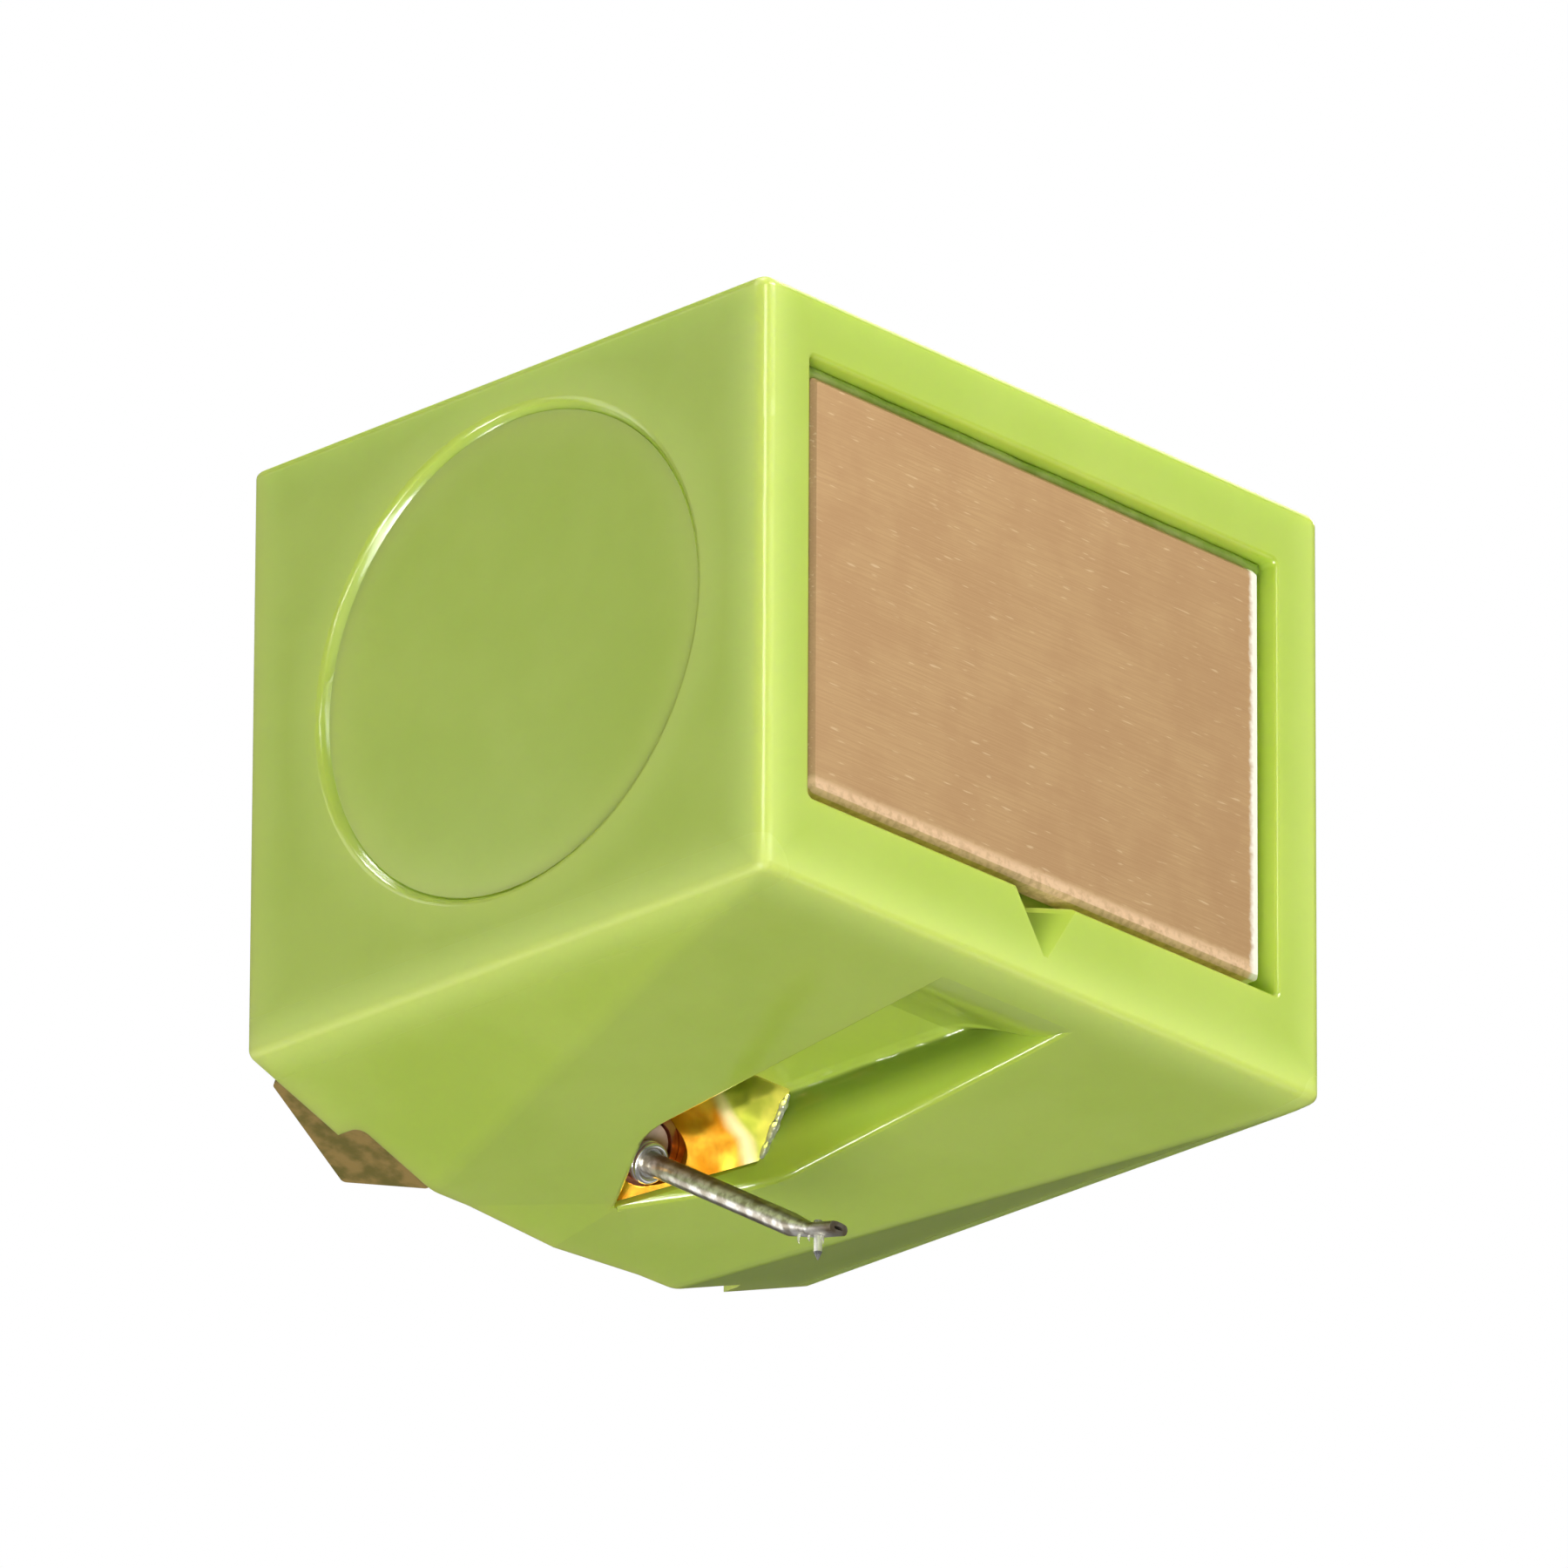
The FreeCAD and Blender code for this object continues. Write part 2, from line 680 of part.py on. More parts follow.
def make_cantilever():
    """Thin tube that bends into a crushed flat end."""
    bend, ahead, over = tip_frame()
    round_end = cantilever_reach - tip_transition
    flat_start = bend + ahead * (tip_transition / 2)
    sections = [round_section(along(0, -cantilever_insert, 0)), round_section(along(0, round_end, 0)),
                flat_section(flat_start, over, tip_width, tip_thickness),
                flat_section(bend + ahead * tip_length, over, tip_width, tip_thickness)]
    arm = Part.makeLoft(sections, True, True)
    arm = arm.cut(axis_cylinder(cantilever_radius - cantilever_wall, round_end, -cantilever_insert))
    slit_floor = bend + ahead * (tip_length - tip_slit_depth)
    slit = Part.Face(flat_section(slit_floor, over, tip_slit_width, tip_slit_height))
    arm = arm.cut(slit.extrude(ahead * (2 * tip_slit_depth)))
    hole_top = shank_top() + FreeCAD.Vector(0, 0, shank_above)
    hole_length = tip_thickness + shank_below + 2 * shank_above
    hole = Part.makeCylinder(shank_radius + shank_clearance, hole_length, hole_top, FreeCAD.Vector(0, 0, -1))
    return arm.cut(hole)


def make_stylus_shank():
    """Fine shank through the flat end."""
    length = shank_above + tip_thickness + shank_below
    return Part.makeCylinder(shank_radius, length, shank_top(), FreeCAD.Vector(0, 0, -1))


def make_diamond():
    """Conical point under the shank."""
    base = shank_top() - FreeCAD.Vector(0, 0, shank_above + tip_thickness + shank_below)
    return Part.makeCone(shank_radius, diamond_point_radius, diamond_length, base, FreeCAD.Vector(0, 0, -1))


def anchor_rear():
    """Station of the rear end of the wire anchor."""
    return anchor_inset - tube_recess - tube_length


def make_wire_anchor():
    """Plug at the rear of the suspension tube, drilled for the tie wire."""
    plug = tube_cylinder(tube_inner_radius - anchor_clearance, anchor_rear() + anchor_length, anchor_rear())
    return plug.cut(axis_cylinder(wire_radius + wire_clearance, anchor_rear() + anchor_length, anchor_rear()))


def make_tie_wire():
    """Fine wire from the cantilever's root to the anchor."""
    return axis_cylinder(wire_radius, wire_overlap - cantilever_insert, anchor_rear())


def magnet_floor():
    """Height of the magnet's slot above the stylus axis."""
    return tube_lift + tube_outer_radius + magnet_over_tube


def make_magnet():
    """Bar magnet over the suspension tube."""
    low = magnet_floor() + magnet_clearance
    return axis_block(magnet_width / 2, magnet_length - sleeve_shank, -sleeve_shank, low, low + magnet_height)


def make_leaf():
    """Thin bronze leaf over the left belly facet, with a slanted tail behind the rear edge."""
    lower = leaf_floor() + leaf_clearance
    rear = body_depth
    notch_front = rear - tail_notch_depth
    plan = [(leaf_left, leaf_front), (leaf_right(leaf_front), leaf_front),
            (leaf_right(notch_front), notch_front),
            (leaf_left + leaf_tail_right_in, rear + leaf_tail_right),
            (leaf_left + leaf_tail_corner_in, rear + leaf_tail_corner),
            (leaf_left + leaf_tail_left_in, rear + leaf_tail_left), (leaf_left, rear + leaf_tail_right)]
    leaf = prism([facet_point(x, y, lower) for x, y in plan], facet_normal() * leaf_thickness)
    leaf = leaf.makeFillet(leaf_corner_radius, edges_at(leaf, is_leaf_corner))
    for index in range(2):
        hole = Part.makeCylinder(stake_radius + leaf_clearance, 2 * leaf_top(),
                                 stake_foot(index) - facet_normal() * belly_wall, facet_normal())
        leaf = leaf.cut(hole)
    return leaf


def is_leaf_corner(point):
    """True on the edges through the leaf's thickness, half-way between its two faces."""
    inside = point.z + side_fall * (half_width + point.x)
    middle = (leaf_floor() + leaf_clearance + leaf_thickness / 2) / math.cos(math.radians(side_facet_slope))
    return abs(inside - middle) < leaf_thickness / 4


makers = {
    "housing": make_housing,
    "front_plate": make_front_plate,
    "plate_adhesive": make_plate_adhesive,
    "stylus_sleeve": make_sleeve,
    "suspension_tube": make_suspension_tube,
    "damper": make_damper,
    "armature": make_armature,
    "cantilever": make_cantilever,
    "stylus_shank": make_stylus_shank,
    "diamond_tip": make_diamond,
    "tie_wire": make_tie_wire,
    "wire_anchor": make_wire_anchor,
    "magnet": make_magnet,
    "retaining_leaf": make_leaf,
}

os.makedirs("parts", exist_ok=True)
to_origin = FreeCAD.Vector(0, -body_depth, -socket_height)
for name, maker in makers.items():
    shape = maker()
    shape.translate(to_origin)
    shape.exportStep("parts/" + name + ".step")
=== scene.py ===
import bmesh
import bpy
import json
import math
import numpy as np
from itertools import combinations
from mathutils import Matrix, Vector


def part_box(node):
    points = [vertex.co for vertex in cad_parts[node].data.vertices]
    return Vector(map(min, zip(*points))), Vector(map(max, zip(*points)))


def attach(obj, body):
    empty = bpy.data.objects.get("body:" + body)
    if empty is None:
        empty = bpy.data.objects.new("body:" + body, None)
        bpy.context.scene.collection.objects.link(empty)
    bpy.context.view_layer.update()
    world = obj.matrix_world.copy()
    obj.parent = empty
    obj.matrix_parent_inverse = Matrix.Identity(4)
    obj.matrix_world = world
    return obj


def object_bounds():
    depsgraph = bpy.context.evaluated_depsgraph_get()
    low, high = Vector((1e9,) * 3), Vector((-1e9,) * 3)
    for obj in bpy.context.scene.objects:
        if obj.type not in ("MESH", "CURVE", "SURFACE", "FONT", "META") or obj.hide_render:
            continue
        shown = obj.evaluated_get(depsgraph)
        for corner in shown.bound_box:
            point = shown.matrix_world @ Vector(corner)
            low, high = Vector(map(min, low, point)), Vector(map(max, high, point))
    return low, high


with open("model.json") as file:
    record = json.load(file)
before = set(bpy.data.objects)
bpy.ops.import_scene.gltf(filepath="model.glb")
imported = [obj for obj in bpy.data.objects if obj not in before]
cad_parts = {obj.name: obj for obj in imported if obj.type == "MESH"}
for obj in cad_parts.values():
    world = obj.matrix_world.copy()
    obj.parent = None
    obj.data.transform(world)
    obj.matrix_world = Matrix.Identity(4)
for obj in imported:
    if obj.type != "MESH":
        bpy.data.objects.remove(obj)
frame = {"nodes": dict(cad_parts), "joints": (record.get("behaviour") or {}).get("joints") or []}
cad_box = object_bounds()
nodes_of_part = frame["nodes"]

MM = 0.001
MERGE_MM = 0.0001
FULL_TURN = 2 * math.pi
WHITE = (1.0, 1.0, 1.0, 1.0)
FLOAT = "NodeSocketFloat"
VECTOR = "NodeSocketVector"
NOISE_MIDDLE = 0.5

# Camera: a long lens below and to the left of the front plate
VIEW_AZIMUTH = -46.50
VIEW_ELEVATION = -23.54
VIEW_ROLL = 0.257
VIEW_DISTANCE_MM = 543.7
VIEW_CENTRE_MM = (0.0, -6.98, -0.04)
SENSOR_MM = 36.0
PIXELS_PER_MM = 57.64
FRAME_PIXELS = 1800
CENTRE_PIXEL = (904.2, 903.1)
NEAR_CLIP_M = 0.01
FAR_CLIP_M = 10.0

# Background: a floor far below and an even dim world, which gloss sees dimmer still
FLOOR_DROP_MM = 420.0
FLOOR_HALF_M = 4.0
FLOOR_GREY = (0.25, 0.25, 0.25, 1.0)
FLOOR_ROUGHNESS = 0.9
WORLD_LIGHT = 0.2
WORLD_GLOSS = 0.08

# Lamps: name, azimuth and elevation in degrees, width and height in mm, brightness given to a white surface
LAMP_DISTANCE_MM = 400.0
SOFTBOXES = (
    ("key_softbox", 20.0, 38.0, 200.0, 140.0, 0.73),
    ("low_softbox", -55.0, -43.0, 200.0, 200.0, 0.74),
    ("top_softbox", -109.0, 81.0, 110.0, 110.0, 0.45),
    ("rear_softbox", 110.0, 40.0, 200.0, 160.0, 0.35),
)

# Panels that show in gloss alone, in the same columns
GLINT_PANELS = (
    ("edge_strip", -39.0, 23.6, 125.0, 120.0, 0.2),
    ("rim_strip", -136.0, -47.0, 60.0, 60.0, 0.25),
    ("dimple_glint", -66.0, -45.0, 110.0, 110.0, 0.65),
    ("stripe_strip", -62.0, -11.0, 25.0, 120.0, 0.15),
    ("front_panel", 46.5, 23.6, 260.0, 160.0, 0.05),
    ("belly_panel", 127.8, -34.0, 420.0, 300.0, 0.06),
    ("bevel_panel", 59.0, -39.0, 160.0, 160.0, 0.06),
    ("pipe_panel", -160.0, -4.0, 320.0, 140.0, 0.2),
    ("side_panel", -140.0, 16.0, 330.0, 130.0, 0.055),
    ("sky_panel", -118.0, 44.0, 250.0, 250.0, 0.26),
    ("camera_panel", -46.5, -23.5, 420.0, 420.0, 0.35),
)

# Holder and plate: corners from the CAD nodes in mm, and the slopes of the belly facets
HOLDER_LOW, HOLDER_HIGH = (np.array(corner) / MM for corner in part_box("housing"))
PLATE_LOW, PLATE_HIGH = (np.array(corner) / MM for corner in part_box("front_plate"))
HALF_WIDTH = float(HOLDER_HIGH[0])
FRONT = float(HOLDER_LOW[1])
TOP = float(HOLDER_HIGH[2])
PLATE_LEFT = float(PLATE_LOW[0])
PLATE_RIGHT = float(PLATE_HIGH[0])
PLATE_FACE = float(PLATE_LOW[1])
PLATE_FOOT = float(PLATE_LOW[2])
PLATE_HEAD = float(PLATE_HIGH[2])
PLATE_GAP_MM = 0.27
SIDE_FALL = math.tan(math.radians(19.6))
KEEL_FALL = math.tan(math.radians(7.0))

# Finger dimple: its middle above the origin and its radius
DIMPLE_RISE_MM = 0.3
DIMPLE_RADIUS_MM = 5.2

# Dish on the dimple's floor: reaches into the wall, and its back is deep enough for light to scatter
DISH_RADIUS_MM = 5.05
DISH_SINK_MM = 0.31
DISH_RISE_MM = 0.13
DISH_BACK_MM = 1.3
DISH_STEPS = 40
DISH_SIDES = 128
DISH_EDGE_ANGLE = math.radians(40)

# In each pair of numbers below, a ramp starts at the first and ends at the second

# Painted glow along the plastic's edges: its width beside an edge, and the share of each face
EDGE_GLOW_MM = 0.7
RIM_GLOW = 0.35
SIDE_CHANGE_MM = (-1.0, 1.0)
LEFT_SIDE_GLOW = 1.0
RIGHT_SIDE_GLOW = 0.55
FRONT_GLOW = 1.0
TOP_GLOW = 0.15
BELLY_GLOW = 0.9
REAR_GLOW = 0.4

# Pocket and cue notch: half widths and heights, and depths behind the front plane
POCKET_HALF_MM = 1.78
POCKET_CEILING_MM = -5.645
POCKET_SLACK_MM = 0.1
POCKET_START_MM = (1.6, 3.4)
POCKET_END_MM = 11.75
WALL_SKIN_MM = (0.12, 0.03)
WALL_FALL_MM = 1.1
WALL_FADE = (1.0, 0.2)
CREASE_REACH_MM = (0.45, 0.1)
NOTCH_TOP_MM = -4.6
NOTCH_FOOT_MM = -6.1
NOTCH_HALF_MM = 1.1
NOTCH_DEPTH_MM = (0.05, 0.6)
NOTCH_END_MM = 1.6

# Plastic: how strongly the painted shade darkens the hollows, which faces are matt, and the relief of edges
# and grain
WALL_SHADE = 0.9
NOTCH_SHADE = 0.7
MATT_TOP_MM = (0.25, 0.02)
MATT_ROUGHNESS = 0.4
GLOSS_ROUGHNESS = 0.17
CREASE_LUMP_MM = 0.12
EDGE_LUMP_MM = 0.02
LIME_GRAIN_MM = 0.0015

# Plate: wear along its left edge, a painted highlight along its right edge, and a paler band along its foot
WORN_LEFT_MM = (0.13, 0.08)
RIGHT_HIGHLIGHT_MM = (0.36, 0.2)
PALE_FOOT_MM = (0.42, 0.22)
FRAY_MM = 0.15
CLOUD_SHARE = 0.5
SCRATCH_SHARE = 0.4

# Stylus: its root lies ahead of the pivot of the sideways joint
PIVOT_BEHIND_ROOT_MM = 0.41
COLLAR_FRONT_MM = 0.14
COLLAR_REACH_MM = 0.365
COLLAR_ROLL_MM = 0.07
COLLAR_STEPS = 96
COLLAR_SIDES = 24
CANTILEVER_REACH_MM = 5.17
TIP_FALL = math.radians(12.7)
# Cantilever: a painted brown reflection of the holder above its axis and along its underside
REFLECTION_ABOVE_MM = (0.06, 0.16)
REFLECTION_BELOW_MM = (-0.17, -0.22)
REFLECTION_SHARE = 0.75

# Sleeve: a painted highlight in a slanting line on its gold, with a painted green reflection on the wing
# beyond it
SLEEVE_HALF_MM = 1.7
SLEEVE_FRONT_MM = 1.235
GOLD_SLANT = 0.73
GOLD_HIGHLIGHT_MM = 2.15
GOLD_HIGHLIGHT_WIDTH_MM = (0.24, 0.0)
GOLD_WING_MM = (-0.04, 0.1)
GOLD_FRONT_MM = (-0.75, -0.5)
GOLD_UNEVEN_MM = 0.5
GOLD_DENT_MM = 0.045

# Glue and adhesive: a wave is its size in mm, its rate along the strand and its start
STRAND_TILT = 0.3
STRAND_SIDES = 14
BEAD_STEPS = 60
BEAD_WAVES = ((0.012, 17.0, 0.0), (0.006, 39.0, 1.0))
BEAD_RADIUS_MM = 0.085
BEAD_SETBACK_MM = 0.02
BEAD_FOOT_MM = 0.92
BEAD_LENGTH_MM = 1.42
BEAD_END_SHARE = 0.0004
LINE_STEPS = 120
LINE_WAVES = ((0.008, 23.0, 0.0), (0.005, 61.0, 0.0))
LINE_SQUEEZE_MM = 0.012

# Wisps of glue: ahead of the cantilever's bend, across, length and radius at the top, in mm
WISPS = (
    (-0.12, -0.08, 0.22, 0.028),
    (0.06, 0.02, 0.15, 0.024),
    (0.42, 0.05, 0.2, 0.022),
    (0.5, -0.1, 0.12, 0.018),
)
WISP_STEPS = 30
WISP_SIDES = 10
WISP_DROP_MM = 0.1
WISP_SWAY_MM = (0.03, 0.05, 0.0)
WISP_SWAY_RATE = 4.0
WISP_TIP_MM = 0.004


def stylus_axes():
    """Root of the stylus and its across, forward and upward directions, from the sideways joint."""
    joint = next(j for j in frame["joints"] if j["name"] == "stylus_lateral")
    upward = np.array(joint["axis"], float)
    across = np.array([1.0, 0.0, 0.0])
    forward = np.cross(upward, across)
    forward = forward * (-np.sign(forward[1]))
    root = np.array(joint["pos_m"], float) / MM + forward * PIVOT_BEHIND_ROOT_MM
    return root, across, forward, upward


ROOT, ACROSS, FORWARD, UPWARD = stylus_axes()


def srgb(r, g, b):
    """Linear colour of an 8-bit display colour."""
    def one(c):
        c = c / 255.0
        return c / 12.92 if c <= 0.04045 else ((c + 0.055) / 1.055) ** 2.4
    return (one(r), one(g), one(b), 1.0)


# Colours of the finishes that have more than two
LIME_DARK = srgb(192, 218, 84)
LIME_LIGHT = srgb(198, 222, 92)
LIME_PAINTED_GLOW = srgb(226, 247, 124)
LIME_WALL_SHADE = srgb(100, 128, 32)
LIME_NOTCH_SHADE = srgb(104, 132, 30)
PLATE_DARK = srgb(187, 149, 102)
PLATE_LIGHT = srgb(194, 157, 109)
PLATE_CLOUD = srgb(180, 140, 95)
PLATE_SCRATCH = srgb(236, 212, 172)
PLATE_PALE_FOOT = srgb(236, 200, 156)
PLATE_PAINTED_HIGHLIGHT = srgb(255, 250, 232)
GOLD_DARK = srgb(222, 140, 24)
GOLD_LIGHT = srgb(253, 198, 66)
WING_REFLECTION_DARK = srgb(170, 176, 60)
WING_REFLECTION_LIGHT = srgb(210, 204, 82)
GOLD_PAINTED_HIGHLIGHT = srgb(246, 226, 160)
ALLOY_DARK = srgb(176, 166, 148)
ALLOY_LIGHT = srgb(250, 246, 238)
ALLOY_REFLECTION = srgb(104, 84, 52)


def facing_part(azimuth, elevation, roll, distance_mm):
    """Place of a camera or lamp that looks at the middle of the view from a direction and a distance."""
    a, e, t = (math.radians(angle) for angle in (azimuth, elevation, roll))
    back = Vector((math.sin(a) * math.cos(e), -math.cos(a) * math.cos(e), math.sin(e)))
    level = Vector((math.cos(a), math.sin(a), 0.0))
    steep = back.cross(level)
    right = math.cos(t) * level + math.sin(t) * steep
    up = math.cos(t) * steep - math.sin(t) * level
    turn = Matrix((right, up, back)).transposed().to_4x4()
    return Matrix.Translation((Vector(VIEW_CENTRE_MM) + back * distance_mm) * MM) @ turn


def new_tree(name):
    """Material with an empty node tree, its Principled shader and its output."""
    material = bpy.data.materials.new(name)
    material.use_nodes = True
    tree = material.node_tree
    tree.nodes.clear()
    shader = tree.nodes.new("ShaderNodeBsdfPrincipled")
    output = tree.nodes.new("ShaderNodeOutputMaterial")
    tree.links.new(shader.outputs[0], output.inputs["Surface"])
    return material, tree, shader


def feed(tree, made, inputs):
    """Gives a node its inputs, each a value or a socket to link from."""
    for key, value in inputs.items():
        if isinstance(value, bpy.types.NodeSocket):
            tree.links.new(value, made.inputs[key])
        else:
            made.inputs[key].default_value = value


def node(tree, kind, inputs, **settings):
    """New node with its settings and its inputs."""
    made = tree.nodes.new(kind)
    for key, value in settings.items():
        setattr(made, key, value)
    feed(tree, made, inputs)
    return made


def math_node(tree, operation, a, b=0.0):
    """Output of a Math node."""
    return node(tree, "ShaderNodeMath", {0: a, 1: b}, operation=operation).outputs[0]


def plus(tree, a, b):
    """Sum of two values."""
    return math_node(tree, "ADD", a, b)


def minus(tree, a, b):
    """Difference of two values."""
    return math_node(tree, "SUBTRACT", a, b)


def times(tree, a, b):
    """Product of two values."""
    return math_node(tree, "MULTIPLY", a, b)


def larger(tree, a, b):
    """Larger of two values."""
    return math_node(tree, "MAXIMUM", a, b)


def absolute(tree, a):
    """Value without its sign."""
    return math_node(tree, "ABSOLUTE", a)


def ramp(tree, value, low, high, out_low=0.0, out_high=1.0):
    """Smooth step of a value from one range to another."""
    ranges = {"Value": value, "From Min": low, "From Max": high, "To Min": out_low, "To Max": out_high}
    return node(tree, "ShaderNodeMapRange", ranges, interpolation_type="SMOOTHSTEP").outputs["Result"]


def mix_colour(tree, factor, a, b):
    """Colour mixed from a to b by the factor; a colour mix has these at sockets 0, 6 and 7."""
    return node(tree, "ShaderNodeMix", {0: factor, 6: a, 7: b}, data_type="RGBA").outputs[2]


def group(name, inputs, outputs):
    """Empty shader node group with named sockets; returns the tree, its inputs and its outputs."""
    tree = bpy.data.node_groups.new(name, "ShaderNodeTree")
    for socket_name, kind, default in inputs:
        socket = tree.interface.new_socket(name=socket_name, in_out="INPUT", socket_type=kind)
        if default is not None:
            socket.default_value = default
    for socket_name, kind in outputs:
        tree.interface.new_socket(name=socket_name, in_out="OUTPUT", socket_type=kind)
    source = tree.nodes.new("NodeGroupInput")
    sink = tree.nodes.new("NodeGroupOutput")
    return tree, source.outputs, sink.inputs


def use_group(tree, made, inputs):
    """Places a node group in a material with its own values; returns its outputs."""
    placed = tree.nodes.new("ShaderNodeGroup")
    placed.node_tree = made
    feed(tree, placed, inputs)
    return placed.outputs


def millimetres(tree):
    """Object coordinates in millimetres."""
    place = tree.nodes.new("ShaderNodeTexCoord").outputs["Object"]
    return node(tree, "ShaderNodeVectorMath", {0: place, "Scale": 1.0 / MM}, operation="SCALE").outputs[0]


def split(tree, place):
    """The x, y and z of a place."""
    return tuple(node(tree, "ShaderNodeSeparateXYZ", {0: place}).outputs)


def from_root(tree, place, direction):
    """Distance of a place from the root of the stylus along a fixed direction."""
    made = node(tree, "ShaderNodeVectorMath", {0: place, 1: tuple(direction)}, operation="DOT_PRODUCT")
    return minus(tree, made.outputs["Value"], float(ROOT @ direction))


def dimple_reach(tree, y, z):
    """Distance from the cross axis of the finger dimples."""
    along_y = minus(tree, y, FRONT / 2)
    along_z = minus(tree, z, DIMPLE_RISE_MM)
    return math_node(tree, "SQRT", plus(tree, times(tree, along_y, along_y), times(tree, along_z, along_z)))


def make_edge_glow():
    """Mask of the painted glow: high on the holder's outer edges, it fades over a width on both faces beside
    each.

    Each face gives a bell of its distance, exp(-(d/width)^2), times the face's share. An edge is where
    the bells of two faces are both high, so the mask is the largest product of two bells. The rim of a
    dimple adds a fainter bell of the distance from its circle. Low is the mask of the edges between the
    sides and the belly alone, and Upright that of the edges between the sides and the front."""
    tree, given, out = group("edge_glow",
                             [("Place", VECTOR, None), ("Width", FLOAT, EDGE_GLOW_MM),
                              ("Rim", FLOAT, RIM_GLOW)],
                             [("Mask", FLOAT), ("Low", FLOAT), ("Upright", FLOAT)])
    x, y, z = split(tree, given["Place"])
    side = minus(tree, HALF_WIDTH, absolute(tree, x))
    front = minus(tree, y, FRONT)
    top = minus(tree, TOP, z)
    keel = math_node(tree, "MINIMUM", times(tree, side, SIDE_FALL), times(tree, front, KEEL_FALL))
    belly = plus(tree, plus(tree, z, TOP), keel)
    rear = times(tree, y, -1.0)

    def bell(distance, share):
        ratio = math_node(tree, "DIVIDE", distance, given["Width"])
        fall = times(tree, times(tree, ratio, ratio), -1.0)
        return times(tree, math_node(tree, "POWER", math.e, fall), share)

    side_bell = bell(side, ramp(tree, x, *SIDE_CHANGE_MM, LEFT_SIDE_GLOW, RIGHT_SIDE_GLOW))
    front_bell = bell(front, FRONT_GLOW)
    belly_bell = bell(belly, BELLY_GLOW)
    bells = (side_bell, front_bell, bell(top, TOP_GLOW), belly_bell, bell(rear, REAR_GLOW))
    tree.links.new(times(tree, side_bell, belly_bell), out["Low"])
    tree.links.new(times(tree, side_bell, front_bell), out["Upright"])
    circle = bell(minus(tree, dimple_reach(tree, y, z), DIMPLE_RADIUS_MM), given["Rim"])
    mask = times(tree, circle, side_bell)
    for one, other in combinations(bells, 2):
        mask = larger(tree, mask, times(tree, one, other))
    tree.links.new(mask, out["Mask"])
    return tree


def make_pocket_shade():
    """Masks of the hollows: Wall, for painted shade, is 1 on the pocket's side walls at the crease and fades
    to the rim,
    Crease is 1 along that crease alone, and Notch, for painted shade, grows with the depth in the cue notch."""
    tree, given, out = group("pocket_shade", [("Place", VECTOR, None), ("Fall", FLOAT, WALL_FALL_MM)],
                             [("Wall", FLOAT), ("Crease", FLOAT), ("Notch", FLOAT)])
    x, y, z = split(tree, given["Place"])
    beside = absolute(tree, minus(tree, absolute(tree, x), POCKET_HALF_MM))
    under = minus(tree, POCKET_CEILING_MM, z)
    behind = minus(tree, y, FRONT)
    below_ceiling = math_node(tree, "GREATER_THAN", under, -POCKET_SLACK_MM)
    before_end = math_node(tree, "LESS_THAN", behind, POCKET_END_MM)
    in_pocket = times(tree, times(tree, below_ceiling, before_end), ramp(tree, behind, *POCKET_START_MM))
    fade = ramp(tree, math_node(tree, "DIVIDE", under, given["Fall"]), *WALL_FADE)
    wall = times(tree, ramp(tree, beside, *WALL_SKIN_MM), fade)
    tree.links.new(times(tree, wall, in_pocket), out["Wall"])
    crease = times(tree, ramp(tree, beside, *CREASE_REACH_MM),
                   ramp(tree, absolute(tree, under), *CREASE_REACH_MM))
    tree.links.new(times(tree, crease, in_pocket), out["Crease"])
    low = times(tree, math_node(tree, "LESS_THAN", z, NOTCH_TOP_MM),
                math_node(tree, "GREATER_THAN", z, NOTCH_FOOT_MM))
    narrow = math_node(tree, "LESS_THAN", absolute(tree, x), NOTCH_HALF_MM)
    shallow = times(tree, ramp(tree, behind, *NOTCH_DEPTH_MM),
                    math_node(tree, "LESS_THAN", behind, NOTCH_END_MM))
    tree.links.new(times(tree, times(tree, low, narrow), shallow), out["Notch"])
    return tree


def noise(tree, place, scale, detail):
    """Noise of a place, from 0 to 1."""
    inputs = {"Vector": place, "Scale": scale, "Detail": detail}
    return node(tree, "ShaderNodeTexNoise", inputs).outputs[0]


def make_mottle():
    """Soft cloudy value from 0 to 1 and a fine grain height, from two noises of the place."""
    cloud_detail = 4.0
    cloud_range = (0.35, 0.65)
    tree, given, out = group("mottle",
                             [("Place", VECTOR, None), ("Cloud", FLOAT, 0.3), ("Grain", FLOAT, 8.0),
                              ("Detail", FLOAT, 3.0)],
                             [("Tone", FLOAT), ("Height", FLOAT)])
    cloud = noise(tree, given["Place"], given["Cloud"], cloud_detail)
    tree.links.new(ramp(tree, cloud, *cloud_range), out["Tone"])
    tree.links.new(noise(tree, given["Place"], given["Grain"], given["Detail"]), out["Height"])
    return tree


def make_streaks():
    """Brushed lines along X, from noise stretched along that axis, and sparse short scratches."""
    line_detail = 3.0
    line_range = (0.3, 0.7)
    scratch_stretch = 0.12
    scratch_scale = 15.0
    scratch_detail = 1.0
    scratch_range = (0.66, 0.76)
    tree, given, out = group("streaks",
                             [("Place", VECTOR, None), ("Fine", FLOAT, 24.0), ("Stretch", FLOAT, 0.03)],
                             [("Tone", FLOAT), ("Height", FLOAT), ("Scratch", FLOAT)])

    def stretched(stretch, scale, detail):
        factors = node(tree, "ShaderNodeCombineXYZ", {0: stretch, 1: 1.0, 2: 1.0}).outputs[0]
        place = node(tree, "ShaderNodeVectorMath", {0: given["Place"], 1: factors}, operation="MULTIPLY")
        return noise(tree, place.outputs[0], scale, detail)

    fine = stretched(given["Stretch"], given["Fine"], line_detail)
    scratch = stretched(scratch_stretch, scratch_scale, scratch_detail)
    tree.links.new(ramp(tree, fine, *line_range), out["Tone"])
    tree.links.new(fine, out["Height"])
    tree.links.new(ramp(tree, scratch, *scratch_range), out["Scratch"])
    return tree


edge_glow = make_edge_glow()
pocket_shade = make_pocket_shade()
mottle = make_mottle()
streaks = make_streaks()


